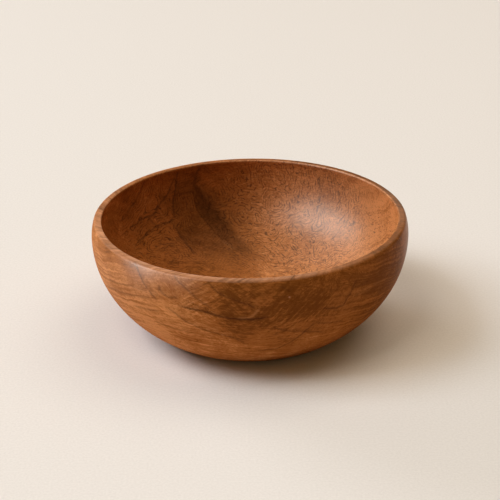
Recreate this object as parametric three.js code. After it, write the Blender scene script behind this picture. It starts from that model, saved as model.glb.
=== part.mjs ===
// A round wooden serving bowl, turned on a lathe from one block of hardwood. Its outside swells up from the
// foot to a belly near the top and tucks in again to a narrow, nearly flat rim. The hollow follows the same
// line with a wall that thickens towards the floor, and the foot is a ring round a shallow dished underside.
// Millimetres, +Z up, origin at the centre of the foot, on the surface that the bowl stands on.
import * as THREE from "three";

// Outside
const greatestDiameter = 200;
const bowlHeight = 74.2;
const bellyBelowRim = 11.2; // how far the greatest diameter lies below the rim
const rimTuck = 2; // how far the rim's outer corner lies inside the greatest radius
const footDiameter = 116; // across the corner where the wall would meet the table

// Rim
const rimWidth = 4.6;
const rimOuterEase = 1.5; // length eased off each side of the rim's outer corner
const rimInnerEase = 0.8;

// Hollow
const wallAtBelly = 5;
const floorThickness = 7.5; // at the axis, above the dished underside
const hollowFullness = 0.68; // 0.55 is a plain ellipse, and 1 a square corner between wall and floor

// Foot
const footEase = 6; // length eased off each side of the foot's corner
const footRingWidth = 9;
const undersideDish = 1.5;

// Facets: steps round the bowl, and along each stretch of its profile
const roundSteps = 72;
const longSteps = 12;
const shortSteps = 4;

// Radii and levels that follow from the sizes above
const bellyRadius = greatestDiameter / 2;
const bellyLevel = bowlHeight - bellyBelowRim;
const rimOuterRadius = bellyRadius - rimTuck;
const rimInnerRadius = rimOuterRadius - rimWidth;
const hollowRadius = bellyRadius - wallAtBelly;
const floorLevel = undersideDish + floorThickness;
const footRadius = footDiameter / 2;
const footRingOuter = footRadius - footEase;
const footRingInner = footRingOuter - footRingWidth;

// A point of the profile: its distance from the axis and its level.
const at = (radius, level) => new THREE.Vector2(radius, level);

// A corner between two stretches of the profile, eased from start to end.
const easedCorner = (start, corner, end) => new THREE.QuadraticBezierCurve(start, corner, end);

// The outside up to the belly is part of an ellipse round the axis. It would reach the table at footRadius,
// and it starts where the eased corner of the foot ends.
function lowerWall() {
  const footAngle = -Math.acos(footRadius / bellyRadius);
  const ellipseHeight = bellyLevel / Math.sin(-footAngle);
  const lengthPerRadian = Math.hypot(bellyRadius * Math.sin(footAngle), ellipseHeight * Math.cos(footAngle));
  const startAngle = footAngle + footEase / lengthPerRadian;
  return new THREE.EllipseCurve(0, bellyLevel, bellyRadius, ellipseHeight, startAngle, 0);
}

// Above the belly the outside turns in along one arc, upright at the belly, that points at the rim's corner.
function tuckedWall() {
  const arcRadius = (bellyBelowRim ** 2 + rimTuck ** 2) / (2 * rimTuck);
  const rimAngle = Math.asin(bellyBelowRim / arcRadius);
  const endAngle = rimAngle - rimOuterEase / arcRadius;
  return new THREE.EllipseCurve(bellyRadius - arcRadius, bellyLevel, arcRadius, arcRadius, 0, endAngle);
}

// The underside is level at the axis and comes down to the foot ring.
function dishedUnderside() {
  const middle = at(0, undersideDish);
  return new THREE.QuadraticBezierCurve(middle, at(footRingInner / 2, undersideDish), at(footRingInner, 0));
}

// Inside the rim the wall opens out to the hollow's greatest radius, where it stands upright.
function undercutWall() {
  const start = at(rimInnerRadius, bowlHeight - rimInnerEase);
  const upright = at(hollowRadius, (start.y + bellyLevel) / 2);
  return new THREE.QuadraticBezierCurve(start, upright, at(hollowRadius, bellyLevel));
}

// From there it runs down in one sweep and lies level at the middle of the floor.
function sweptHollow() {
  const drop = bellyLevel - floorLevel;
  return new THREE.CubicBezierCurve(
    at(hollowRadius, bellyLevel),
    at(hollowRadius, bellyLevel - hollowFullness * drop),
    at(hollowFullness * hollowRadius, floorLevel),
    at(0, floorLevel),
  );
}

// The whole profile, from the axis below, out over the foot and the rim, and back to the axis in the hollow.
function bowlProfile() {
  const underside = dishedUnderside();
  const lower = lowerWall();
  const tucked = tuckedWall();
  const undercut = undercutWall();
  const footCorner = easedCorner(at(footRingOuter, 0), at(footRadius, 0), lower.getPoint(0));
  const rimOuterEnd = at(rimOuterRadius - rimOuterEase, bowlHeight);
  const rimOuterCorner = easedCorner(tucked.getPoint(1), at(rimOuterRadius, bowlHeight), rimOuterEnd);
  const rimInnerStart = at(rimInnerRadius + rimInnerEase, bowlHeight);
  const rimInnerCorner = easedCorner(rimInnerStart, at(rimInnerRadius, bowlHeight), undercut.getPoint(0));
  const points = [at(0, undersideDish)];
  const follow = (curve, steps) => points.push(...curve.getPoints(steps).slice(1));
  follow(underside, shortSteps);
  points.push(at(footRingOuter, 0));
  follow(footCorner, shortSteps);
  follow(lower, longSteps);
  follow(tucked, shortSteps);
  follow(rimOuterCorner, shortSteps);
  points.push(rimInnerStart);
  follow(rimInnerCorner, shortSteps);
  follow(undercut, shortSteps);
  follow(sweptHollow(), longSteps);
  return points;
}

const oiledWood = new THREE.MeshStandardMaterial({ color: 0x8f5029, roughness: 0.45, metalness: 0 });

// The lathe turns its profile round Y, so the blank is stood up to bring that axis to Z.
const bowlShape = new THREE.LatheGeometry(bowlProfile(), roundSteps);
bowlShape.rotateX(Math.PI / 2);
const bowlBody = new THREE.Mesh(bowlShape, oiledWood);
bowlBody.name = "bowl_body";

const bowl = new THREE.Group();
bowl.add(bowlBody);

export default bowl;
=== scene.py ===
# %% [markdown]
# # A turned wooden bowl
# The bowl is one block of figured hardwood, turned inside and out on a lathe and rubbed with oil. Its
# looks come from three things: one smooth profile, wood that was a tree, and a satin finish. This lesson
# makes them in that order, and then stands the bowl on a pale floor in soft light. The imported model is
# loaded first, because it says where everything is and how big it is.

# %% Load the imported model
import math

import bpy
import numpy as np
from mathutils import Matrix, Vector


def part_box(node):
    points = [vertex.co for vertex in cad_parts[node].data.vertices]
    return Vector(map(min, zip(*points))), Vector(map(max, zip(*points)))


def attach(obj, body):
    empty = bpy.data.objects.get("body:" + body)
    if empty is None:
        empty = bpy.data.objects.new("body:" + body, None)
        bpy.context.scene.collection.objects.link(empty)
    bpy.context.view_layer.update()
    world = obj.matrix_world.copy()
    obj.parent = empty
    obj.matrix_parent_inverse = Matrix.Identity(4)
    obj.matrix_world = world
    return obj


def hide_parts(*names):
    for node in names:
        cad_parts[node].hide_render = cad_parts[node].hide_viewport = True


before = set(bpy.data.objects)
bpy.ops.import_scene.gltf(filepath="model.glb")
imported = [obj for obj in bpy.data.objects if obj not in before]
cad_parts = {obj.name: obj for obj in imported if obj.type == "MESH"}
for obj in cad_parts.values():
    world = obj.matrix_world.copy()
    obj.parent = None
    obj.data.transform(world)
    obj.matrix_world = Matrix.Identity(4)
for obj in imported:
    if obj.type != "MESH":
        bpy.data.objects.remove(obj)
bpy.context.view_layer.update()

# %% [markdown]
# ## The profile
# A turner thinks in one line: the section that the tool follows from the foot over the rim into the
# hollow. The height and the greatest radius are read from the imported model, and the other sizes are those
# of the solid. A mesh could be subdivided from the solid, but its facets would stay in the rim. The line
# is drawn again instead, finely, from the same arcs and eased corners.

# %% Sizes of the bowl
MM = 0.001
low_corner, high_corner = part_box("bowl_body")
bowl_height = high_corner[2] - low_corner[2]
belly_radius = (high_corner[0] - low_corner[0]) / 2
belly_below_rim = 11.2 * MM
belly_level = bowl_height - belly_below_rim
wall_at_belly = 5 * MM
hollow_radius = belly_radius - wall_at_belly
hollow_fullness = 0.68
rim_tuck = 2 * MM
rim_width = 4.6 * MM
rim_outer_radius = belly_radius - rim_tuck
rim_inner_radius = rim_outer_radius - rim_width
rim_outer_ease = 1.5 * MM
rim_inner_ease = 0.8 * MM
underside_dish = 1.5 * MM
bottom_thickness = 7.5 * MM
bottom_level = underside_dish + bottom_thickness
foot_radius = 58 * MM
foot_ease = 6 * MM
foot_ring_width = 9 * MM
foot_ring_outer = foot_radius - foot_ease
foot_ring_inner = foot_ring_outer - foot_ring_width
print(f"Bowl {2 * belly_radius / MM:.1f} mm across and {bowl_height / MM:.1f} mm high")


# %% Two ways to draw a stretch of the profile, and the outside wall
def eased(points, steps):
    """A Bezier curve: neighbouring points are mixed in the share t, then the mixes are mixed, until one
    is left."""
    share = np.linspace(0, 1, steps + 1)[:, None]
    row = [np.array(point) + 0 * share for point in points]
    while len(row) > 1:
        row = [(1 - share) * first + share * second for first, second in zip(row, row[1:])]
    return row[0]


def oval_arc(centre, across, upright, angles):
    """Part of an ellipse: the centre, plus across times the cosine outwards and upright times the sine
    upwards."""
    return np.array(centre) + np.stack([across * np.cos(angles), upright * np.sin(angles)], axis=1)


foot_angle = -math.acos(foot_radius / belly_radius)
ellipse_height = belly_level / math.sin(-foot_angle)
wall_per_radian = math.hypot(belly_radius * math.sin(foot_angle), ellipse_height * math.cos(foot_angle))
wall_start = foot_angle + foot_ease / wall_per_radian
lower_wall = oval_arc((0, belly_level), belly_radius, ellipse_height, np.linspace(wall_start, 0, num=62))
tuck_radius = (belly_below_rim**2 + rim_tuck**2) / (2 * rim_tuck)
tuck_centre = (belly_radius - tuck_radius, belly_level)
tuck_end = math.asin(belly_below_rim / tuck_radius) - rim_outer_ease / tuck_radius
tucked_wall = oval_arc(tuck_centre, tuck_radius, tuck_radius, np.linspace(0, tuck_end, num=22))
print("Points on the outside wall:", len(lower_wall) + len(tucked_wall))

# %% The foot, the rim and the hollow
dish_turn = (foot_ring_inner / 2, underside_dish)
underside = eased([(0, underside_dish), dish_turn, (foot_ring_inner, 0)], steps=18)
foot_corner = eased([(foot_ring_outer, 0), (foot_radius, 0), lower_wall[0]], steps=10)
rim_top_outer = (rim_outer_radius - rim_outer_ease, bowl_height)
rim_top_inner = (rim_inner_radius + rim_inner_ease, bowl_height)
rim_top = np.linspace(rim_top_outer, rim_top_inner, num=7)
rim_outer_corner = eased([tucked_wall[-1], (rim_outer_radius, bowl_height), rim_top_outer], steps=9)
undercut_start = (rim_inner_radius, bowl_height - rim_inner_ease)
rim_inner_corner = eased([rim_top_inner, (rim_inner_radius, bowl_height), undercut_start], steps=6)
undercut_turn = (hollow_radius, (undercut_start[1] + belly_level) / 2)
undercut = eased([undercut_start, undercut_turn, (hollow_radius, belly_level)], steps=10)
hollow_turn = (hollow_radius, belly_level - hollow_fullness * (belly_level - bottom_level))
bottom_turn = (hollow_fullness * hollow_radius, bottom_level)
hollow = eased([(hollow_radius, belly_level), hollow_turn, bottom_turn, (0, bottom_level)], steps=66)
outer_stretches = [underside, foot_corner, lower_wall[1:], tucked_wall[1:]]
outer_stretches += [rim_outer_corner[1:], rim_top[1:-1]]
inner_stretches = [rim_inner_corner, undercut[1:], hollow[1:]]
profile = np.concatenate(outer_stretches + inner_stretches)
print("Points along the profile:", len(profile))

# %% [markdown]
# ## The turned surface
# Every point of the profile is carried round the axis, so the surface is a function of two parameters:
# how far along the profile, and how far round. Screw or Spin modifiers do the same, but as an array the
# surface can also be told where it is dented. The real bowl has two small chips at the front, one on the
# rim and one on the wall, so the lines of the grid gather there, finely enough to hold them.

# %% Carry the profile round the axis
CHIPS = [
    {"azimuth": 15.5, "radius": 96.4 * MM, "level": bowl_height, "width": 0.75 * MM, "depth": 0.5 * MM},
    {"azimuth": 12.8, "radius": belly_radius, "level": 63.4 * MM, "width": 0.7 * MM, "depth": 0.35 * MM},
]
# Degrees round the axis
EVEN_STEP = 0.85
FINE_STEP = 0.15
FINE_REACH = 1.2


def around(azimuth, radius, level):
    """A place by its azimuth in degrees, 0 in front, 90 to the right and 180 behind, its radius and its
    level."""
    turn = np.radians(azimuth)
    return np.stack(np.broadcast_arrays(radius * np.sin(turn), -radius * np.cos(turn), level), axis=-1)


fine_turns = np.arange(-FINE_REACH, FINE_REACH + FINE_STEP / 2, FINE_STEP)
turns = np.concatenate([np.arange(0, 360, EVEN_STEP)] + [chip["azimuth"] + fine_turns for chip in CHIPS])
azimuths = np.unique(np.round(turns, 3))
rings = profile[1:-1]
surface = around(azimuths[None, :], rings[:, :1], rings[:, 1:])
ring_count, round_count = surface.shape[:2]
print("Rings and steps round:", ring_count, round_count)

# %% Press in the chips
chip_centres = [around(chip["azimuth"], chip["radius"], chip["level"]) for chip in CHIPS]
along_profile = np.gradient(rings, axis=0)
along_profile /= np.linalg.norm(along_profile, axis=1, keepdims=True)
outward = around(azimuths[None, :], along_profile[:, 1:], -along_profile[:, :1])
for chip, centre in zip(CHIPS, chip_centres):
    reach = np.linalg.norm(surface - centre, axis=-1, keepdims=True) / chip["width"]
    surface = surface - outward * chip["depth"] * np.exp(-(reach**2))
poles = [(0, 0, profile[0, 1]), (0, 0, profile[-1, 1])]
vertices = np.concatenate([surface.reshape(-1, 3), poles])
print("Vertices:", len(vertices))

# %% Close the surface and make the mesh
numbers = np.arange(ring_count * round_count).reshape(ring_count, round_count)
onward = np.roll(numbers, -1, axis=1)
quads = np.stack([numbers[:-1], onward[:-1], onward[1:], numbers[1:]], axis=-1).reshape(-1, 4)
pole_below = np.full(round_count, len(vertices) - 2)
pole_above = np.full(round_count, len(vertices) - 1)
fan_below = np.stack([pole_below, onward[0], numbers[0]], axis=-1)
fan_above = np.stack([pole_above, numbers[-1], onward[-1]], axis=-1)
bowl_mesh = bpy.data.meshes.new("turned_bowl")
bowl_mesh.from_pydata(vertices, [], quads.tolist() + fan_below.tolist() + fan_above.tolist())
bowl_mesh.shade_smooth()
bowl = bpy.data.objects.new("turned_bowl", bowl_mesh)
bpy.context.scene.collection.objects.link(bowl)
halves = np.concatenate([quads[:, [0, 1, 2]], quads[:, [0, 2, 3]], fan_below, fan_above])
corners = vertices[halves]
volume = np.einsum("ij,ij->i", corners[:, 0], np.cross(corners[:, 1], corners[:, 2])).sum() / 6
print(f"{len(halves)} triangles hold {1e6 * volume:+.0f} cubic centimetres; plus means faces point out")

# %% [markdown]
# ## Where the figure runs
# Most of the figure can be left to noise, but a few dark veins, a shadowed streak and a burred patch are
# what one would know this bowl by. They are drawn as lines on the surface. Each vertex is told
# how far it lies from the nearest line, and the material turns that distance into a vein. An image could
# be painted instead, but a distance stays sharp at any zoom.

# %% Names for places on the wall
OUTSIDE, INSIDE = False, True
outer_wall = np.concatenate([lower_wall, tucked_wall, rim_outer_corner])
inner_wall = np.concatenate([rim_inner_corner, undercut, hollow])


def run_along(points):
    """How far each point lies along its line: the sum of the straight steps before it."""
    return np.concatenate([[0], np.cumsum(np.linalg.norm(np.diff(points, axis=0), axis=1))])


inner_run = run_along(inner_wall)


def wall_at(inside, azimuth, along):
    """The place on a wall at an azimuth in degrees and so many millimetres along it: a level on the
    outside, and in the hollow a depth down the wall from the rim."""
    along = np.asarray(along) * MM
    if inside:
        level = np.interp(along, inner_run, inner_wall[:, 1])
        return around(azimuth, np.interp(along, inner_run, inner_wall[:, 0]), level)
    return around(azimuth, np.interp(along, outer_wall[:, 1], outer_wall[:, 0]), along)


first_inner = sum(len(stretch) for stretch in outer_stretches)
ring_is_inside = np.arange(1, len(profile) - 1) >= first_inner
is_inside = np.concatenate([np.repeat(ring_is_inside, round_count), [OUTSIDE, INSIDE]])
print("Vertices in the hollow:", int(is_inside.sum()))

# %% How far each vertex lies from a drawn line
LINE_SPACING = 0.6 * MM
LINE_WINDOW = np.hanning(13)[1:-1]
FAR_AWAY = 1.0
vertex_outward = np.concatenate([outward.reshape(-1, 3), [(0, 0, -1), (0, 0, 1)]])


def flowing(points):
    """Points close together along a drawn line, rounded off by a moving average."""
    run = run_along(points)
    places = np.arange(0, run[-1], LINE_SPACING)
    dense = np.stack([np.interp(places, run, points[:, axis]) for axis in range(3)], axis=1)
    weights = LINE_WINDOW / LINE_WINDOW.sum()
    margin = len(weights) // 2
    padded = np.pad(dense, ((margin, margin), (0, 0)), mode="edge")
    return np.stack([np.convolve(padded[:, axis], weights, "valid") for axis in range(3)], axis=1)


def measure_line(points, inside):
    """For every vertex, its distance in millimetres from a line through given points, plus to the
    left of its run and minus to the right as seen by someone who faces the wood, and the share of the
    line's length at the nearest point. Vertices on the other wall are far away."""
    line = flowing(wall_at(inside, *np.array(points, float).T))
    heading = np.gradient(line, axis=0)
    distance = np.full(len(vertices), FAR_AWAY)
    share = np.zeros(len(vertices))
    near = np.flatnonzero(is_inside == inside)
    gaps = np.linalg.norm(vertices[near, None].astype(np.float32) - line[None].astype(np.float32), axis=-1)
    nearest = gaps.argmin(axis=1)
    offset = vertices[near] - line[nearest]
    side = np.sign(np.einsum("ij,ij->i", np.cross(heading[nearest], offset), vertex_outward[near]))
    distance[near] = np.where(side == 0, 1, side) * gaps.min(axis=1)
    share[near] = nearest / len(line)
    return distance / MM, share


def store(name, *values):
    """Keeps three numbers for every vertex on the mesh, under a name that the material can read."""
    attribute = bowl_mesh.attributes.new(name, "FLOAT_VECTOR", "POINT")
    attribute.data.foreach_set("vector", np.stack(values, axis=1).astype(np.float32).ravel())


print("A line's points are", LINE_SPACING / MM, "mm apart")

# %% [markdown]
# ## Dark veins
# A vein is a seam of dark wood that the lathe has cut across, so it shows as a thin line, often with wood
# beside it that fades from dark to plain. Each row below is how dark the core is, how dark the wood stays
# on its left, and the points that it runs through: azimuth and level on the outside, azimuth and depth in
# the hollow. A vertex keeps only its nearest line, so veins that cross are kept in two different sets.

# %% Veins of the outside
OUTSIDE_VEINS_ONE = [
    (0.62, 0.2, [(-45, 75), (-42, 71), (-40, 66.5), (-38, 62), (-35.5, 58.5), (-33, 55.5)]),
    (0.6, 0.2, [(-31.5, 54), (-29, 51.5), (-27, 49.5), (-25, 46.5), (-22, 43.5), (-16, 39.5), (-7, 35.5),
                (-2, 30)]),
    (0.55, 0.2, [(-15, 74), (-13, 70), (-11, 67), (-9, 65.5), (-6, 63.5), (-3.5, 61.5), (0, 59.5),
                 (3, 57)]),
    (0.65, 0.1, [(22.8, 44.5), (21.5, 40), (19, 36), (16, 30), (10, 23), (0, 22)]),
    (0.75, 0.1, [(32.7, 49), (34.5, 53.5), (36, 57), (37, 61), (39, 66)]),
    (0.3, 0.1, [(-62, 52), (-55, 55), (-50, 57), (-46, 58.8), (-40, 59), (-36.5, 61)]),
    (0.4, 0.1, [(-38, 37.8), (-33, 37), (-25, 36), (-20, 35)]),
    (0.45, 0.1, [(8.5, 71), (11, 69), (13.5, 67)]),
    (0.35, 0.1, [(-6, 35.5), (-3.5, 33), (-2.5, 29.5)]),
    (0.4, 0.1, [(35.5, 60), (40, 60), (45, 60.8)]),
]
OUTSIDE_VEINS_TWO = [
    (0.95, 0.3, [(-26, 55.5), (-20, 54.3), (-17, 54.3), (-15, 53.3), (-12, 52.2), (-9, 51.1), (-5, 50),
                 (1, 49.8), (7, 51.5)]),
    (0.55, 0.2, [(-28, 75), (-25, 70.5), (-23, 68.5), (-21, 66.5), (-20, 64.5), (-18.5, 62), (-14.5, 58),
                 (-12.5, 55.5)]),
    (0.7, 0.1, [(24.5, 52.5), (27, 51), (30, 50), (34, 50)]),
    (0.35, 0.1, [(-67, 44.5), (-60, 47.5), (-55, 49.5), (-50, 50.5), (-45, 52.5), (-40, 54.5), (-33, 57)]),
    (0.5, 0.1, [(6, 44), (10, 41), (13, 39), (17, 37.5), (23, 34.5), (30, 31)]),
    (0.4, 0.1, [(22.5, 43), (25, 41), (29, 39), (36, 37)]),
    (0.4, 0.1, [(-47, 44), (-40, 45.5), (-37, 46.5), (-33, 47.7)]),
    (0.55, 0.2, [(-32.7, 67), (-32.3, 63), (-30.5, 60.3), (-28, 59.5), (-24.5, 60.8)]),
    (0.4, 0.1, [(9, 33), (14, 31.5), (17, 31.5)]),
]
print("Veins on the outside:", len(OUTSIDE_VEINS_ONE) + len(OUTSIDE_VEINS_TWO))

# %% Veins of the hollow
INSIDE_VEINS_ONE = [
    (1.0, 0.3, [(210.5, -1), (211.5, 6), (212.2, 15), (213.6, 23), (214.7, 29), (215.2, 37)]),
    (1.0, 0.15, [(216.8, 39), (215.7, 45), (214.6, 52), (214, 60), (213, 66)]),
    (0.6, 0.1, [(247, 21.8), (243, 21.6), (239, 20.3)]),
    (0.9, 0.1, [(241, 41), (233, 39.5), (228, 37.5), (222, 36.5), (218, 37), (214, 39)]),
    (0.55, 0.1, [(152.3, 0), (151.5, 6), (150.5, 11), (149, 16), (149.6, 21), (149.2, 29), (149, 34)]),
    (0.5, 0.1, [(190, 37), (187, 41), (185.5, 44), (184, 45.5), (179, 45)]),
    (0.3, 0.05, [(156, 41), (155, 46), (154, 49), (150, 50.5), (147, 50.3)]),
    (0.35, 0.05, [(149, 31.5), (145, 30.3), (142.5, 30.6), (141, 32.5), (140, 35)]),
    (0.4, 0.05, [(132.5, 5), (131.5, 14), (130.2, 21), (130, 28), (129, 38), (129.3, 50)]),
]
INSIDE_VEINS_TWO = [
    (1.0, 0.2, [(211.5, 3), (214, 12), (216, 18), (219, 21), (221, 24), (223.5, 26.5), (224.3, 28.6),
                (230, 28), (242, 30)]),
    (0.8, 0.1, [(228.3, 0), (229, 5), (231, 10), (234.4, 15.6), (240, 18.5)]),
    (0.55, 0.05, [(194, 30), (192.4, 33), (189, 33.5)]),
    (0.5, 0.05, [(145.3, 4), (144, 10), (143.3, 15)]),
    (0.3, 0.05, [(159, 39), (160.3, 43.5), (158.7, 48), (159.5, 54)]),
    (0.3, 0.05, [(149, 34), (145, 32.6), (142, 34)]),
    (0.35, 0.05, [(134, 32), (133, 40), (132.3, 46), (135, 55)]),
    (0.7, 0.05, [(227.5, 29), (226, 35.5)]),
    (0.75, 0.05, [(197.4, 29), (198, 32), (199, 35.5), (200, 39.5)]),
]
print("Veins in the hollow:", len(INSIDE_VEINS_ONE) + len(INSIDE_VEINS_TWO))

# %% Tell each vertex about its nearest vein
TAPER_RATE = 8
DISTANCE_SHARE = {OUTSIDE: 0.9, INSIDE: 0.8}
CORE_SHARE = {OUTSIDE: 1.0, INSIDE: 0.72}


def nearest_vein(outside_veins, inside_veins):
    """For every vertex: the signed distance to the nearest vein, and that vein's core and shade there,
    both tapered to nothing at the vein's ends. Distances count for less in the hollow, which widens its
    veins, and so do their cores, which makes them paler."""
    best = np.full(len(vertices), FAR_AWAY / MM)
    core = np.zeros(len(vertices))
    shade = np.zeros(len(vertices))
    for inside, veins in ((OUTSIDE, outside_veins), (INSIDE, inside_veins)):
        for darkness, shading, points in veins:
            distance, share = measure_line(points, inside)
            distance = distance * DISTANCE_SHARE[inside]
            taper = np.clip(TAPER_RATE * np.minimum(share, 1 - share), 0, 1)
            closer = np.abs(distance) < np.abs(best)
            best = np.where(closer, distance, best)
            core = np.where(closer, CORE_SHARE[inside] * darkness * taper, core)
            shade = np.where(closer, shading * taper, shade)
    return best, core, shade


store("veins_one", *nearest_vein(OUTSIDE_VEINS_ONE, INSIDE_VEINS_ONE))
store("veins_two", *nearest_vein(OUTSIDE_VEINS_TWO, INSIDE_VEINS_TWO))
print("Veins stored in two sets")

# %% [markdown]
# ## Pale lines and the dark streak
# A few lines are paler than the wood round them, and they are drawn just as the veins are, with no shade
# beside them. The streak is the bowl's strongest mark: a tongue of dark wood that starts thin at the rim,
# widens down the hollow and fades on the bottom. It is one line too, but its strength and its width
# change along its run, so the distance is kept as a share of the width there.

# %% Pale lines and the streak
OUTSIDE_PALE = [
    (1.0, 0, [(-32.5, 56), (-30.5, 50.5), (-28, 48), (-25.5, 45)]),
    (0.8, 0, [(-33, 57), (-31, 54.5), (-28.5, 52.6), (-26.5, 51), (-24.5, 48.8)]),
    (0.7, 0, [(2.8, 58), (1.6, 54.5), (0.2, 52), (-1.5, 50.9), (-5, 50.9)]),
    (0.2, 0, [(36.5, 57.2), (40, 57), (48, 56), (58, 54.5)]),
    (0.2, 0, [(36, 54), (40, 54.5), (47, 54.5)]),
    (0.6, 0, [(-44, 38), (-38, 39.3), (-33, 38.3), (-27, 37.6), (-21, 36.6)]),
    (0.6, 0, [(-40, 48), (-34, 48.8)]),
]
INSIDE_PALE = [
    (0.8, 0, [(195.5, 57), (193.5, 60.5), (191.5, 63.5), (189, 67)]),
    (0.5, 0, [(202.3, 14), (200.3, 20), (198.7, 25), (197.5, 29)]),
    (0.9, 0, [(146.8, 38), (146.7, 43)]),
]
STREAK = [
    (200.5, -1), (202.5, 5), (204, 13), (204.3, 20), (204, 28), (203.5, 33), (202, 38), (200.5, 42),
    (199, 47), (197.5, 51), (196, 55), (194.5, 59), (192.5, 62.5), (190, 66), (186, 71), (180, 77),
    (172, 84),
]
# The share of the streak's run, with its strength there and its width there in millimetres
STREAK_STRENGTH = [(0, 0.4), (0.12, 0.65), (0.25, 0.92), (0.35, 0.92), (0.6, 0.88), (0.8, 0.6), (1, 0)]
STREAK_WIDTH = [(0, 2), (0.1, 2), (0.16, 2.5), (0.28, 11), (0.6, 11), (0.8, 8), (1, 5)]
pale_distance, pale_strength, _ = nearest_vein(OUTSIDE_PALE, INSIDE_PALE)
streak_distance, streak_run = measure_line(STREAK, INSIDE)
streak_strength = np.interp(streak_run, *np.array(STREAK_STRENGTH).T)
streak_width = np.interp(streak_run, *np.array(STREAK_WIDTH).T)
print("Pale lines:", len(OUTSIDE_PALE) + len(INSIDE_PALE))
print("The streak is up to", streak_width.max(), "mm wide")

# %% [markdown]
# ## The burr's swirls and its eye
# A burr grows from many small buds, and its grain runs round them in curls. On this bowl one bud shows as
# an eye at the right back of the hollow. The curls could be a noise's contours, but those wander with no
# centre. Here they run alongside short drawn lines and round the eye, so they gather where the
# real ones do.

# %% Lines that the curls run alongside
SWIRLS = [
    [(168.5, 29), (167.5, 33)],
    [(177, 40), (176, 44)],
    [(184, 38), (183, 42)],
    [(156, 47), (155, 52)],
    [(139, 58), (138, 63)],
    [(151, 2), (150, 12), (149.3, 27)],
    [(130.5, 5), (129.5, 48)],
    [(180, 61), (170, 68), (160, 76)],
    [(159, 60), (150, 64.5)],
    [(169, 6), (168, 14)],
    [(195, 20), (193, 26)],
    [(245, 42), (233, 39.5), (228, 37.5), (222, 36.5), (214, 38)],
    [(247, 22), (239, 20), (232, 14), (229, 5)],
    [(215.5, 4), (214.5, 28)],
    [(213, 66), (214.5, 52), (216.8, 42)],
    [(206, 60), (196, 50)],
    [(240, 55), (225, 60)],
]
EYE = [(147.8, 34.5), (147.2, 38), (146.8, 41), (146.6, 43)]
# Distances from the eye's line shrink towards its foot, which makes the eye a drop
EYE_TOP_SHARE, EYE_FOOT_SHARE = 1.3, 0.65
SWIRL_BLEND = 1.5
SWIRL_FARTHEST = 300
eye_gap, eye_run = measure_line(EYE, INSIDE)
swirl_gaps = [np.abs(measure_line(row, INSIDE)[0]) for row in SWIRLS]
swirl_gaps.append(np.abs(eye_gap) * (EYE_TOP_SHARE + (EYE_FOOT_SHARE - EYE_TOP_SHARE) * eye_run))
# The nearest of the gaps, with soft joins: minus the logarithm of the sum of each gap's fading power
swirl_fades = sum(np.exp(-np.minimum(gap, SWIRL_FARTHEST) / SWIRL_BLEND) for gap in swirl_gaps)
swirl_run = -SWIRL_BLEND * np.log(swirl_fades)
store("streak", streak_distance / streak_width, streak_strength, swirl_run)
print("Lines that guide the curls:", len(swirl_gaps))

# %% [markdown]
# ## Patches
# Wood changes from place to place: burr here, crossing fibres there. Paler on one side and darker on the
# other is painted light and shade here. Such changes have soft edges, so each is a few round patches that
# fade out. Weight painting would give the same, but a row of numbers can be read and moved. A row is the
# wall, the azimuth, the level or depth, the reach in millimetres and the weight.


# %% Patches where the figure changes
def patch(inside, azimuth, along, reach, weight):
    """A soft round patch: the weight times the bell curve of the distance from a place over its reach."""
    gap = np.linalg.norm(vertices - wall_at(inside, azimuth, along), axis=1) / (reach * MM)
    return weight * np.exp(-(gap**2)) * (is_inside == inside)


def patches(*rows):
    """Several soft patches put together, never over one."""
    return np.clip(sum(patch(*row) for row in rows), 0, 1)


# The burr, and the front, where drawn lines take the place of growth rings
burr = patches((INSIDE, 152, 42, 42, 1.3), (INSIDE, 178, 34, 38, 0.7), (INSIDE, 150, 80, 45, 0.6))
drawn_front = patches(
    (OUTSIDE, -10, 45, 75, 1.5), (OUTSIDE, 65, 45, 55, 1.5), (OUTSIDE, -75, 45, 40, 1.0),
)
# Strokes that rise to the right, that fall, and that rise again further right
store(
    "hatches",
    patches((OUTSIDE, -16.5, 62, 13, 1.2)),
    patches((OUTSIDE, -4, 68, 15, 1.0)),
    patches((OUTSIDE, 11, 53, 17, 1.0), (OUTSIDE, 24, 58, 12, 0.6)),
)
# Long strokes that lie nearly level, at the left, low at the front and at the right
store(
    "levels",
    patches((OUTSIDE, -58, 48, 42, 1.3)),
    patches((OUTSIDE, -12, 27, 34, 1.2), (OUTSIDE, 25, 22, 26, 0.8)),
    patches((OUTSIDE, 52, 45, 40, 1.2)),
)
# Dashes and dots beside the burr, and the feathered grain across from it
store(
    "dashes",
    patches((INSIDE, 155, 64, 24, 1.2), (INSIDE, 135, 70, 25, 0.8)),
    patches((INSIDE, 112, 30, 34, 0.95)),
    patches((INSIDE, 225, 35, 45, 1.2)),
)
print("Patches stored:", [item.name for item in bowl_mesh.attributes if item.data_type == "FLOAT_VECTOR"])

# %% [markdown]
# ## Wear and painted sheen on the rim
# Hands rub a rim, so its left front is paler than the wall, partly from wear and partly as painted sheen,
# and its outer corner at the left is polished. Its inner edge at the right back is paler too, as a painted
# highlight. A pointiness mask would mark all of the rim alike. The share of rim is read from a vertex's
# level instead, and the side from its turn about the axis.

# %% The rim's share, its wear and painted sheen, and its polish
RIM_DEPTH = 1.2 * MM
CORNER_REACH = 2 * MM
CORNER_BLEND = 1.4 * MM
LEFT_CORNER, LEFT_FRONT, RIGHT_BACK, BACK = -48, -42, 145, 180
vertex_turn = np.arctan2(vertices[:, 0], -vertices[:, 1])
vertex_radius = np.hypot(vertices[:, 0], vertices[:, 1])


def facing(azimuth):
    """How far each vertex lies to the side of an azimuth: the cosine of the turn between, at least 0."""
    return np.clip(np.cos(vertex_turn - math.radians(azimuth)), 0, 1)


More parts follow.
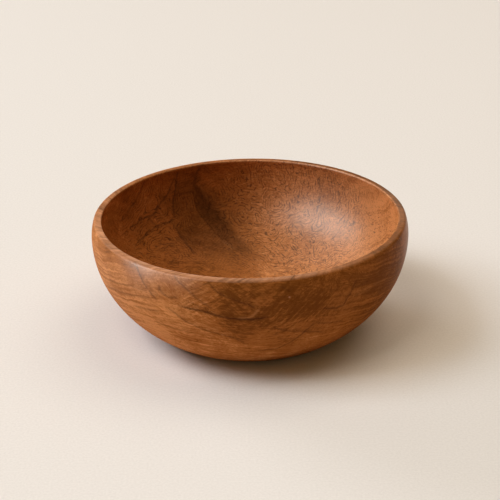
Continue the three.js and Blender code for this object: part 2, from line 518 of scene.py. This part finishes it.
rim_share = np.clip((vertices[:, 2] - (bowl_height - RIM_DEPTH)) / RIM_DEPTH, 0, 1)
outer_corner = np.clip((vertex_radius - rim_outer_radius + CORNER_REACH) / CORNER_BLEND, 0, 1)
left_corner = rim_share * outer_corner * facing(LEFT_CORNER) ** 2
# Painted highlight: a pale line along the rim's inner edge at the right back
inner_edge_highlight = 0.55 * is_inside * facing(RIGHT_BACK) ** 1.5
# The rim's left front is paler, partly from wear and partly as painted sheen
left_front_worn_and_sheen = 0.05 + 0.5 * facing(LEFT_FRONT)
rim_worn_and_sheen = rim_share * np.maximum(left_front_worn_and_sheen, inner_edge_highlight) * (1 - 0.75 * left_corner)
rim_polish = rim_share * (0.5 - 0.3 * facing(BACK))
store("pale_lines", pale_distance, pale_strength, rim_worn_and_sheen)
store("zones", burr, rim_share, drawn_front)
print("Vertices on the rim:", int((rim_share > 0).sum()))

# %% [markdown]
# ## Painted light and shade, and polished wood
# The wall is palest at the left and low at the front, and darkest under the rim at the front and right.
# That is partly the wood's own tone and partly painted light and shade: the lit left of the outside and the
# lit right of the hollow are painted paler, and painted shade darkens the front and right of the outside,
# the back and left of the hollow and the rim at the right. The wood is also painted darker under the sheen
# on the left shoulder and round the highlight in the hollow. Oil has built up to a sheen on the left
# shoulder, at the right end and in the right of the hollow. All three are soft patches, and the rim adds
# its own share.

# %% Patches of painted light and shade, and of sheen
LEAST_POLISH = 0.17
RIM_DARKEST = 115
# Painted light, partly the wood's own tone: paler on the lit left of the outside and the lit right of the
# hollow
painted_light_and_pale = patches(
    (OUTSIDE, -62, 50, 48, 0.42), (OUTSIDE, -35, 30, 42, 0.6), (OUTSIDE, -20, 57, 20, 0.25),
    (OUTSIDE, 2, 30, 28, 0.25), (OUTSIDE, 35, 35, 28, 0.3), (INSIDE, 120, 40, 60, 1.3),
    (INSIDE, 170, 20, 45, 0.5), (INSIDE, 140, 75, 50, 0.8), (INSIDE, 238, 30, 40, 0.15),
)
# Painted shade, partly the wood's own tone: darker at the front and right outside, at the back and left of
# the hollow, under the shoulder's sheen and round the hollow's highlight
painted_shade_and_deep = patches(
    (OUTSIDE, 0, 61, 30, 1.45), (OUTSIDE, 20, 66, 18, 0.7), (OUTSIDE, 52, 55, 43, 0.98),
    (OUTSIDE, -62, 78, 9, 1.3), (OUTSIDE, -46, 78, 10, 1.5), (INSIDE, 212, 22, 38, 0.38),
    (INSIDE, 185, 20, 38, 0.35), (INSIDE, 192, 78, 42, 0.7), (INSIDE, 144, 36, 34, 0.75),
)
# Painted shade on the rim, darkest at the right
painted_shade_and_deep = np.maximum(painted_shade_and_deep, rim_share * facing(RIM_DARKEST))
shoulder_polish = patches(
    (OUTSIDE, -62, 66, 36, 0.28), (OUTSIDE, -41, 74, 14, 0.9), (OUTSIDE, -24, 75, 12, 0.4),
    (OUTSIDE, 95, 60, 40, 1.4),
)
hollow_polish = patches((INSIDE, 140, 40, 45, 1.25), (INSIDE, 170, 95, 45, 0.35))
hollow_polish = LEAST_POLISH + (1 - LEAST_POLISH) * hollow_polish
outside_polish = np.maximum(shoulder_polish, rim_polish + 0.3 * left_corner)
inside_polish = np.maximum(hollow_polish, rim_polish)
store("tones", painted_light_and_pale, painted_shade_and_deep, np.where(is_inside, inside_polish, outside_polish))
print(f"Mean polish in the hollow: {hollow_polish[is_inside].mean():.2f}")

# %% [markdown]
# ## A flat map of the wall
# Where fibres cross or wave, the eye sees strokes that lie on the surface. Strokes are easiest to draw on
# a flat sheet, so each vertex keeps its place on one: millimetres round the bowl and millimetres along
# the profile. A UV map would need a seam, but numbers on vertices only have to jump where no stroke is
# drawn.

# %% Millimetres across and along the wall
OUTSIDE_TURN_RADIUS = 92
HOLLOW_TURN_RADIUS = 75
# The hollow has a layer of its own, so that its strokes don't repeat the outside's
HOLLOW_LAYER = 1000.0
outside_across = np.radians((azimuths + 180) % 360 - 180) * OUTSIDE_TURN_RADIUS
hollow_across = np.radians(azimuths - 180) * HOLLOW_TURN_RADIUS
wall_across = np.where(ring_is_inside[:, None], hollow_across, outside_across).ravel()
profile_run = run_along(profile) / MM
wall_along = np.repeat(profile_run[1:-1], round_count)
flat_across = np.concatenate([wall_across, [0, 0]])
flat_along = np.concatenate([wall_along, [0, profile_run[-1]]])
store("wall_map", flat_across, flat_along, HOLLOW_LAYER * is_inside)
print(f"The profile is {profile_run[-1]:.0f} mm long")

# %% [markdown]
# ## The oiled wood
# Wood is solid, so its figure is worked out in space and not painted on: growth rings are tubes round the
# pith of the tree, which ran from left to right under the foot, and the fibres run along it. Where the
# surface cuts the tubes it shows arches on the front and back and rings at the two ends, as real bowls
# do. Noise bends the tubes. Object coordinates carry all of it, in millimetres.

# %% Short names for shader nodes
wood = bpy.data.materials.new("oiled_wood")
wood.use_nodes = True
wood_nodes = wood.node_tree.nodes
wood_links = wood.node_tree.links
wood_finish = wood_nodes["Principled BSDF"]


def add_node(kind, inputs, tree=wood.node_tree, **settings):
    """A node, in the wood unless another tree is named: settings go on the node, and each input is a
    number, a colour or another node's output."""
    node = tree.nodes.new(kind)
    for name, value in settings.items():
        setattr(node, name, value)
    for socket, value in inputs.items():
        if isinstance(value, bpy.types.NodeSocket):
            tree.links.new(value, node.inputs[socket])
        else:
            node.inputs[socket].default_value = value
    return node


def sums(operation, *values):
    """One step of arithmetic on numbers, with the values in order."""
    return add_node("ShaderNodeMath", dict(enumerate(values)), operation=operation).outputs[0]


def place_sums(operation, *values):
    """One step of arithmetic on places, with the values in order."""
    node = add_node("ShaderNodeVectorMath", dict(enumerate(values)), operation=operation)
    return node.outputs["Value" if operation in ("LENGTH", "DISTANCE") else "Vector"]


object_place = add_node("ShaderNodeTexCoord", {}).outputs["Object"]
in_millimetres = {0: object_place, "Scale": 1 / MM}
place_mm = add_node("ShaderNodeVectorMath", in_millimetres, operation="SCALE").outputs["Vector"]
print("Wood starts with", len(wood_nodes), "nodes")


# %% Curves, and the numbers kept on the mesh
def slope(value, low, high, at_low=0.0, at_high=1.0):
    """A smooth step from at_low to at_high, S-shaped between low and high and level beyond. Where low is
    the larger number, the step runs backwards."""
    inputs = {"Value": value, "From Min": low, "From Max": high, "To Min": at_low, "To Max": at_high}
    return add_node("ShaderNodeMapRange", inputs, interpolation_type="SMOOTHSTEP").outputs[0]


def bell(gap, width):
    """The bell curve of a distance over a width: 1 on the line and next to nothing two widths away."""
    return sums("EXPONENT", sums("MULTIPLY", sums("POWER", sums("DIVIDE", gap, width), 2.0), -1.0))


def kept(name):
    """The three numbers that the mesh keeps under a name."""
    numbers_kept = add_node("ShaderNodeAttribute", {}, attribute_name=name).outputs["Vector"]
    parts = add_node("ShaderNodeSeparateXYZ", {"Vector": numbers_kept}).outputs
    return parts[0], parts[1], parts[2]


burr_share, rim_top_share, front_share = kept("zones")
dash_share, dot_share, feather_share = kept("dashes")
print("Shares read:", len(wood_nodes), "nodes")


# %% Noise, and the bends of the trunk
def cloud(place, per_mm, detail=2, roughness=0.5):
    """Noise between 0 and 1 with so many bumps to the millimetre, or to the unit that a place is in."""
    inputs = {"Vector": place, "Scale": per_mm, "Detail": detail, "Roughness": roughness}
    return add_node("ShaderNodeTexNoise", inputs).outputs[0]


def centred(value):
    """A noise moved down by a half, so that it swings about 0."""
    return sums("SUBTRACT", value, 0.5)


def drift(place, per_mm, detail):
    """Three noises that swing about 0, to push places about with."""
    return place_sums("SUBTRACT", cloud(place, per_mm, detail).node.outputs["Color"], (0.5, 0.5, 0.5))


SLOW_REACH = (30, 30, 30)
QUICK_REACH = (7, 7, 7)
quick_bend = drift(place_mm, per_mm=0.07, detail=3)
bent = place_sums("MULTIPLY_ADD", drift(place_mm, per_mm=0.016, detail=2), SLOW_REACH, place_mm)
bent = place_sums("MULTIPLY_ADD", quick_bend, QUICK_REACH, bent)
print("Bends:", len(wood_nodes), "nodes")

# %% Growth rings, fibres and pores
PITH = (0, 4, 12)
RINGS_PER_MM = 0.22
RING_SPREAD = 2.2
RING_SQUEEZE = (0.05, 1, 1)


def along_fibres(squeeze):
    """Bent places squeezed along the fibres, so that a noise on them is drawn out into streaks."""
    return place_sums("MULTIPLY", bent, (squeeze, 1, 1))


from_pith = place_sums("MULTIPLY", place_sums("SUBTRACT", bent, PITH), RING_SQUEEZE)
ring_radius = place_sums("LENGTH", from_pith)
ring_inputs = {"W": ring_radius, "Scale": 0.2, "Detail": 4.0, "Roughness": 0.62}
ring_band = add_node("ShaderNodeTexNoise", ring_inputs, noise_dimensions="1D").outputs[0]
ring_number = sums("MULTIPLY_ADD", ring_radius, RINGS_PER_MM, sums("MULTIPLY", ring_band, RING_SPREAD))
ring_phase = sums("FRACT", ring_number)
ring_line = sums("MULTIPLY", slope(ring_phase, 0.62, 0.96), slope(ring_phase, 1.0, 0.96))
fibre = cloud(along_fibres(0.05), per_mm=0.55, detail=4, roughness=0.65)
hair = cloud(along_fibres(0.10), per_mm=1.6, detail=2, roughness=0.6)
fine_grain = cloud(along_fibres(0.12), per_mm=0.95, detail=2, roughness=0.6)
pores = slope(cloud(along_fibres(0.3), per_mm=1.3, detail=1), 0.60, 0.72)
blotch = cloud(bent, per_mm=0.05, detail=4, roughness=0.6)
mottle = cloud(bent, per_mm=0.3, detail=3, roughness=0.6)
print("Rings, fibres and pores:", len(wood_nodes), "nodes")

# %% [markdown]
# ## Curls of the burr
# The distance from the drawn swirls is cut into even lines, as contours are on a map. Noise pushes the
# lines about, though only a little near the eye, and breaks them into dashes. Dots between them are the
# cut ends of buds. The curls show fully only in the burred patch, and the feathered grain across from it
# shows the same lines, less broken.

# %% Curls, dots and flowing lines
CURL_SPACING = 1.9
CURL_WANDER, EYE_WANDER = 7.0, 1.5
EYE_FAR, EYE_NEAR = 9.0, 5.5
EYE_MIDDLE = (147, 40)
streak_gap, streak_dark, swirl_gap = kept("streak")
eye_centre = tuple(float(value) / MM for value in wall_at(INSIDE, *EYE_MIDDLE))
near_eye = slope(place_sums("DISTANCE", place_mm, eye_centre), EYE_FAR, EYE_NEAR)
wander = sums("MULTIPLY_ADD", near_eye, EYE_WANDER - CURL_WANDER, CURL_WANDER)
curl_push = sums("MULTIPLY", centred(cloud(place_mm, per_mm=0.11, detail=2, roughness=0.6)), wander)
curl_run = sums("ADD", curl_push, swirl_gap)
curl_wave = sums("PINGPONG", sums("MULTIPLY_ADD", curl_run, 1 / CURL_SPACING, 0.35), 0.5)
curl_line = slope(curl_wave, 0.2, 0.04)
broken = slope(cloud(place_mm, per_mm=0.34, detail=1.5), 0.43, 0.56)
eye_whole = sums("MULTIPLY", near_eye, slope(curl_run, 2.4, 1.8))
curl_dashes = sums("MULTIPLY", curl_line, sums("MAXIMUM", broken, eye_whole))
curls = sums("MULTIPLY", curl_dashes, slope(burr_share, 0.1, 0.8, at_low=0.05))
bud_dots = slope(cloud(place_mm, per_mm=0.7, detail=1), 0.57, 0.68)
bud_dots = sums("MULTIPLY", bud_dots, slope(burr_share, 0.1, 0.8, at_high=0.5))
flow_breaks = slope(cloud(place_mm, per_mm=0.2, detail=2, roughness=0.6), 0.36, 0.6)
flow_marks = sums("MULTIPLY", sums("MULTIPLY", curl_line, flow_breaks), feather_share)
print("Burr:", len(wood_nodes), "nodes")

# %% [markdown]
# ## Strokes along the wall
# Crossing fibres catch the light as short hatched strokes, and waves in the grain as long level ones.
# Each is a noise on the flat map, turned to the stroke's slant and stretched to its length. Brushed-on
# strokes would need a picture, and the noise needs only four numbers.

# %% Hatching, long strokes, dashes and dots
STROKE_BEND = (5, 5, 0)
flat_map = add_node("ShaderNodeAttribute", {}, attribute_name="wall_map").outputs["Vector"]
flat_bent = place_sums("MULTIPLY_ADD", quick_bend, STROKE_BEND, flat_map)


def strokes(share, strength, rise, length, width):
    """Streaks that swing about 0 and rise by so many degrees to the right, with their length and width in
    millimetres, times a patch's share and a strength."""
    slant = {"Vector": flat_bent, "Angle": -math.radians(rise)}
    turned = add_node("ShaderNodeVectorRotate", slant, rotation_type="Z_AXIS").outputs[0]
    stretched = place_sums("MULTIPLY", turned, (1 / length, 1 / width, 1))
    streaks = centred(cloud(stretched, per_mm=0.5, detail=2, roughness=0.55))
    return sums("MULTIPLY", streaks, sums("MULTIPLY", share, strength))


hatch_up, hatch_down, hatch_right = kept("hatches")
level_left, level_low, level_right = kept("levels")
stroke_tone = 0.0
for drawn in (
    strokes(hatch_up, strength=1.6, rise=34, length=7, width=0.8),
    strokes(hatch_down, strength=1.1, rise=-45, length=5, width=0.55),
    strokes(hatch_right, strength=1.2, rise=50, length=9, width=0.8),
    strokes(level_left, strength=1.3, rise=12, length=18, width=0.9),
    strokes(level_low, strength=1.0, rise=-5, length=14, width=0.9),
    strokes(level_right, strength=1.05, rise=-11, length=40, width=0.8),
):
    stroke_tone = sums("ADD", stroke_tone, drawn)
dash_marks = slope(strokes(dash_share, strength=1.0, rise=-40, length=4, width=0.8), 0.07, 0.16)
dot_marks = slope(strokes(dot_share, strength=1.0, rise=5, length=1.5, width=0.6), 0.08, 0.16)
print("Strokes:", len(wood_nodes), "nodes")

# %% [markdown]
# ## Veins and the streak from the drawn lines
# A distance becomes a vein through a bell curve: dark on the line and nearly plain a millimetre away. A
# drawn line is too smooth for wood, so a little noise is added to the distance first. The streak has
# a dark body with soft sides, a thin core along its line and a wide halo, which are three curves of the
# same distance.

# %% Veins, pale lines and the dark streak
VEIN_WOBBLE, PALE_WOBBLE, STREAK_WOBBLE = 2.2, 1.5, 0.3
SHADE_FADE_PER_MM = 0.16
PALE_WIDTH = 0.9
STREAK_CORE_WIDTH, STREAK_HALO_WIDTH = 0.11, 1.9
wobble = centred(cloud(place_mm, per_mm=0.3, detail=3, roughness=0.6))


def vein_dark(name, width):
    """How dark a vein is: its core, the bell curve of the wobbled distance, plus its left side, which
    fades with the exponential of the distance."""
    distance, core, shade = kept(name)
    gap = sums("MULTIPLY_ADD", wobble, VEIN_WOBBLE, distance)
    fade = sums("EXPONENT", sums("MULTIPLY", sums("ABSOLUTE", gap), -SHADE_FADE_PER_MM))
    left_side = sums("MULTIPLY", slope(gap, -0.4, 0.8), fade)
    return sums("MULTIPLY_ADD", bell(gap, width), core, sums("MULTIPLY", left_side, shade))


veins = sums("ADD", vein_dark("veins_one", width=0.6), vein_dark("veins_two", width=0.75))
veins = sums("MINIMUM", veins, 1.0)
pale_gap, pale_share, rim_rubbed_and_sheen = kept("pale_lines")
pale_place = sums("MULTIPLY_ADD", wobble, PALE_WOBBLE, pale_gap)
pale_lines = sums("MULTIPLY", bell(pale_place, PALE_WIDTH), pale_share)
streak_place = sums("MULTIPLY_ADD", wobble, STREAK_WOBBLE, streak_gap)
streak_body = sums("MULTIPLY", slope(streak_place, -0.6, 0.35), slope(streak_place, 1.6, 0.7, at_high=0.78))
streak_core = sums("MAXIMUM", streak_body, sums("MULTIPLY", bell(streak_place, STREAK_CORE_WIDTH), 0.8))
streak_halo = sums("MULTIPLY", bell(streak_place, STREAK_HALO_WIDTH), 0.42)
streak_shade = sums("MULTIPLY", sums("MAXIMUM", streak_core, streak_halo), streak_dark)
streak_shade = sums("MULTIPLY", streak_shade, sums("MULTIPLY_ADD", mottle, 1.5, 0.28))
print("Veins:", len(wood_nodes), "nodes")

# %% [markdown]
# ## Streaks across the rim
# The flat top of the rim cuts the fibres short, and they show as dark streaks that lean a little as they
# cross it. The noise is read on the direction from the axis alone, so it can't change across the rim, and
# turning the places more the further out they lie gives the lean.

# %% The rim's streaks, and its worn wood and painted sheen
RIM_TWIST = 0.9
RIM_STREAKS_PER_RADIUS = 24.0
RIM_PATCHES_PER_RADIUS = 5.0
twist_per_mm = RIM_TWIST * MM / rim_outer_radius
flat_place = place_sums("MULTIPLY", place_mm, (1, 1, 0))
rim_lean = sums("MULTIPLY_ADD", place_sums("LENGTH", flat_place), twist_per_mm, -RIM_TWIST)
rim_turn = {"Vector": flat_place, "Angle": rim_lean}
rim_twisted = add_node("ShaderNodeVectorRotate", rim_turn, rotation_type="Z_AXIS").outputs[0]
rim_way = place_sums("NORMALIZE", rim_twisted)
rim_streaks = cloud(rim_way, RIM_STREAKS_PER_RADIUS, detail=4, roughness=0.7)
rim_uneven = cloud(rim_way, RIM_PATCHES_PER_RADIUS, detail=2, roughness=0.6)
rim_uneven = slope(rim_uneven, 0.38, 0.62, at_low=0.15)
rim_dark = sums("MULTIPLY", slope(rim_streaks, 0.47, 0.66), rim_top_share)
rim_dark = sums("MULTIPLY", rim_dark, rim_uneven)
# The rim's rubbed wood, partly wear and partly painted sheen and highlight, paler where the streaks are
# light
rim_pale_and_sheen = sums("MULTIPLY", rim_rubbed_and_sheen, slope(rim_streaks, 0.62, 0.38, at_low=0.6, at_high=1.3))
print("Rim:", len(wood_nodes), "nodes")

# %% [markdown]
# ## Colours of the oiled wood
# Oil darkens wood and brings out its red, so the bowl's colour is a mix of five browns. All the textures
# are first added up into one tone, as they are one substance, and the patches of painted light and shade
# join them; the tone picks a colour from deep to pale. A colour ramp would do that too, but mixes keep each
# brown under its own name. Pale lines and the rim's rubbed wood, partly wear and partly painted sheen,
# come over that, then the marks in the darkest brown, and the chips' painted glints last.

# %% One tone from all the textures and the painted light and shade
# Growth rings fade where lines are drawn, and both ends are calmer than the front
MIDDLE_TONE = 0.5
pale_and_lit_patch, deep_and_shaded_patch, polish_share = kept("tones")
plain = sums("SUBTRACT", 1.0, sums("MAXIMUM", sums("MULTIPLY", front_share, 0.75), burr_share))
plain = sums("MULTIPLY", plain, sums("MULTIPLY_ADD", feather_share, -0.8, 1.0))
end_calm = sums("MULTIPLY_ADD", sums("MAXIMUM", level_left, level_right), -0.55, 1.0)
calm_blotch = sums("MULTIPLY", centred(blotch), sums("MULTIPLY_ADD", burr_share, -0.6, 1.0))
tone = MIDDLE_TONE
for texture, strength in (
    (sums("MULTIPLY", centred(ring_band), plain), 0.8),
    (sums("MULTIPLY", ring_line, plain), -0.16),
    (sums("MULTIPLY", calm_blotch, end_calm), 0.8),
    (sums("MULTIPLY", centred(fibre), end_calm), 0.5),
    (sums("MULTIPLY", centred(hair), end_calm), 0.5),
    (sums("MULTIPLY", centred(fine_grain), end_calm), 0.6),
    (sums("MULTIPLY", centred(mottle), end_calm), 0.35),
    (stroke_tone, 0.9),
    # Painted light and shade: paler where the lamps fall, darker where shade falls, with the wood's own
    # tone
    (pale_and_lit_patch, 0.40),
    (deep_and_shaded_patch, -0.33),
):
    tone = sums("MULTIPLY_ADD", texture, strength, tone)
print("Tone:", len(wood_nodes), "nodes")

# %% Browns, from the tone and the marks
MID_WOOD = (0.352, 0.110, 0.0235, 1)
PALE_WOOD = (0.63, 0.245, 0.082, 1)
DEEP_WOOD = (0.163, 0.046, 0.006, 1)
VEIN_WOOD = (0.045, 0.013, 0.003, 1)
# Pale worn wood, also the colour of the rim's painted sheen and the chips' painted glints
WORN_AND_SHEEN_WOOD = (0.70, 0.335, 0.19, 1)
CHIP_CORE, CHIP_GLINT = 0.7, 0.7
FACTOR_SOCKET, UNDER_SOCKET, OVER_SOCKET, COLOUR_OUTPUT = 0, 6, 7, 2


def tint(share, under, over, tree=wood.node_tree):
    """One colour over another in a share between 0 and 1."""
    inputs = {FACTOR_SOCKET: share, UNDER_SOCKET: under, OVER_SOCKET: over}
    return add_node("ShaderNodeMix", inputs, tree, data_type="RGBA").outputs[COLOUR_OUTPUT]


colour = tint(slope(tone, 0.08, 0.55), DEEP_WOOD, MID_WOOD)
colour = tint(slope(tone, 0.5, 0.98), colour, PALE_WOOD)
colour = tint(sums("MULTIPLY", pale_lines, 0.6), colour, PALE_WOOD)
colour = tint(rim_pale_and_sheen, colour, WORN_AND_SHEEN_WOOD)
marks = sums("MAXIMUM", sums("MAXIMUM", dash_marks, dot_marks), sums("MAXIMUM", curls, flow_marks))
marks = sums("MAXIMUM", marks, bud_dots)
for layer, strength in ((pores, 0.3), (marks, 0.72), (rim_dark, 0.6), (streak_shade, 1.0), (veins, 0.74)):
    colour = tint(sums("MULTIPLY", layer, strength), colour, VEIN_WOOD)
# Each chip's centre is painted pale: a painted glint, standing in for the light on its lip
for chip, centre in zip(CHIPS, chip_centres):
    from_chip = place_sums("DISTANCE", place_mm, tuple(float(value) / MM for value in centre))
    chip_bell = bell(from_chip, CHIP_CORE * chip["width"] / MM)
    colour = tint(sums("MULTIPLY", chip_bell, CHIP_GLINT), colour, WORN_AND_SHEEN_WOOD)
wood_links.new(colour, wood_finish.inputs["Base Color"])
print("Colour:", len(wood_nodes), "nodes")

# %% [markdown]
# ## Satin oil
# Rubbed oil leaves wood dull where it has soaked in and glossy where it has built up. The wood itself
# gets no gloss here, and a thin coat of oil carries all of it: the coat's weight follows the polished
# patches and is less in the pores and on the streak. A second, clear surface would do the same with twice
# the faces. A faint bump lets the pores and curls show in raking light.

# %% Coat, roughness and a trace of relief
wood_finish.inputs["IOR"].default_value = 1.45
wood_finish.inputs["Specular IOR Level"].default_value = 0.0
wood_finish.inputs["Coat Roughness"].default_value = 0.40
wood_finish.inputs["Coat IOR"].default_value = 1.6
polish = sums("MULTIPLY_ADD", sums("SUBTRACT", 0.25, pores), 0.2, polish_share)
polish = sums("MULTIPLY", polish, sums("MULTIPLY_ADD", streak_shade, -0.6, 1.0))
wood_links.new(polish, wood_finish.inputs["Coat Weight"])
dull = sums("MULTIPLY_ADD", pores, 0.15, 0.45)
dull = sums("MULTIPLY_ADD", centred(fibre), 0.2, dull)
wood_links.new(dull, wood_finish.inputs["Roughness"])
relief = sums("MULTIPLY_ADD", pores, -0.6, sums("MULTIPLY", hair, 0.5))
relief = sums("MULTIPLY_ADD", marks, -0.4, relief)
bump = add_node("ShaderNodeBump", {"Strength": 0.18, "Distance": 0.12 * MM, "Height": relief})
wood_links.new(bump.outputs[0], wood_finish.inputs["Normal"])
bowl_mesh.materials.append(wood)
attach(bowl, "root")
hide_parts("bowl_body")
print("Wood finished with", len(wood_nodes), "nodes")

# %% [markdown]
# ## The floor
# The bowl stands on a warm, pale sheet that fills the view and has no horizon. A curved backdrop would be
# needed for a low camera, but this one looks down, so one wide square is enough. Fine noise gives it the
# tooth of paper.

# %% A pale sheet
FLOOR_HALF = 30.0
PAPER_SHADE = (0.717, 0.650, 0.617, 1)
PAPER_LIGHT = (0.857, 0.790, 0.757, 1)
PAPER_BUMPS_PER_METRE = 700.0
floor_mesh = bpy.data.meshes.new("pale_floor")
floor_edge = np.array([(-1, -1, 0), (1, -1, 0), (1, 1, 0), (-1, 1, 0)]) * FLOOR_HALF
floor_mesh.from_pydata(floor_edge, [], [(0, 1, 2, 3)])
floor = bpy.data.objects.new("pale_floor", floor_mesh)
bpy.context.scene.collection.objects.link(floor)
paper = bpy.data.materials.new("pale_paper")
paper.use_nodes = True
paper_finish = paper.node_tree.nodes["Principled BSDF"]
paper_place = add_node("ShaderNodeTexCoord", {}, paper.node_tree).outputs["Object"]
paper_inputs = {"Vector": paper_place, "Scale": PAPER_BUMPS_PER_METRE, "Detail": 3.0}
paper_grain = add_node("ShaderNodeTexNoise", paper_inputs, paper.node_tree).outputs[0]
paper_colour = tint(paper_grain, PAPER_SHADE, PAPER_LIGHT, paper.node_tree)
paper.node_tree.links.new(paper_colour, paper_finish.inputs["Base Color"])
paper_finish.inputs["Roughness"].default_value = 0.9
paper_finish.inputs["Specular IOR Level"].default_value = 0.1
floor_mesh.materials.append(paper)
print("Floor", 2 * FLOOR_HALF, "m square")

# %% [markdown]
# ## The lights
# Four wide soft lamps light the surfaces: the key at the left, which draws the shadow, one high at the
# front left, one low behind on the left and one high behind on the right. Three cards show only in the
# gloss, as a photographer's white boards do, so that the sheen can be placed without changing the shadow.
# A dim, warm sky fills the rest. One lamp could do all of it, but then the shadow and the sheen would
# have to agree.


# %% Lamps that light the surfaces
def looking_back(aim, way, away):
    """The place and turn of a lamp or a camera that looks back at its aim from so far away."""
    return Matrix.Translation(aim + way * away) @ way.to_track_quat("Z", "Y").to_matrix().to_4x4()


def soft_lamp(name, azimuth, elevation, away, width, power, colour, in_gloss):
    """A square soft lamp that faces the bowl from an azimuth, as on the bowl, and an elevation, both in
    degrees. It either lights the surfaces or shows in their gloss."""
    lamp = bpy.data.lights.new(name, "AREA")
    lamp.size = width
    lamp.energy = power
    lamp.color = colour
    holder = bpy.data.objects.new(name, lamp)
    rise = math.radians(elevation)
    way = Vector(around(azimuth, math.cos(rise), math.sin(rise)))
    holder.matrix_world = looking_back(Vector((0, 0, bowl_height / 2)), way, away)
    holder.visible_glossy = in_gloss
    holder.visible_diffuse = not in_gloss
    bpy.context.scene.collection.objects.link(holder)


# Name, azimuth, elevation, metres away, metres wide, watts and colour
SURFACE_LAMPS = [
    ("key_lamp", -82, 46, 5.0, 2.4, 166.0, (0.77, 0.89, 1.0)),
    ("high_left", -45, 62, 5.0, 2.0, 54.0, (1.0, 0.93, 0.82)),
    ("low_back_left", -135, 12, 9.0, 3.6, 525.0, (0.875, 0.93, 1.0)),
    ("back_right", 120, 65, 5.0, 4.0, 84.0, (1.0, 0.89, 0.75)),
]
for row in SURFACE_LAMPS:
    soft_lamp(*row, in_gloss=False)
print("Lamps:", [row[0] for row in SURFACE_LAMPS])

# %% Cards for the gloss, and the sky
# The same columns as for the lamps
GLOSS_CARDS = [
    ("gloss_card", -70, 24, 2.5, 2.6, 129.0, (0.90, 1.0, 1.0)),
    ("high_gloss_card", -128, 46, 2.5, 1.8, 16.0, (1.0, 0.98, 0.95)),
    ("back_gloss_card", 170, 26, 2.5, 1.6, 2.6, (1.0, 0.98, 0.95)),
]
for row in GLOSS_CARDS:
    soft_lamp(*row, in_gloss=True)
sky = bpy.data.worlds.new("studio")
sky.use_nodes = True
sky.node_tree.nodes["Background"].inputs["Color"].default_value = (1.0, 0.82, 0.40, 1)
sky.node_tree.nodes["Background"].inputs["Strength"].default_value = 0.192
bpy.context.scene.world = sky
bpy.context.scene.view_settings.view_transform = "Standard"
print("Cards:", [row[0] for row in GLOSS_CARDS])

# %% [markdown]
# ## The camera
# The bowl is seen from about a metre away and a quarter of a right angle up, through a long lens, which
# keeps the rim's oval calm. The place and the slight roll are those that lay the drawn rim and wall
# over the real ones.

# %% A long lens, looking down
CAMERA_RISE = math.radians(24.53)
CAMERA_ROLL = math.radians(0.83)
CAMERA_AWAY = 957.0 * MM
CAMERA_AIM = Vector((-0.18, 0, 49.12)) * MM
camera_data = bpy.data.cameras.new("camera")
camera_data.sensor_width = 36
camera_data.lens = 108
camera = bpy.data.objects.new("camera", camera_data)
bpy.context.scene.collection.objects.link(camera)
camera_way = Vector(around(0, math.cos(CAMERA_RISE), math.sin(CAMERA_RISE)))
camera_roll = Matrix.Rotation(-CAMERA_ROLL, 4, "Z")
camera.matrix_world = looking_back(CAMERA_AIM, camera_way, CAMERA_AWAY) @ camera_roll
bpy.context.scene.camera = camera
print("Camera at", [round(value, 3) for value in camera.matrix_world.translation])
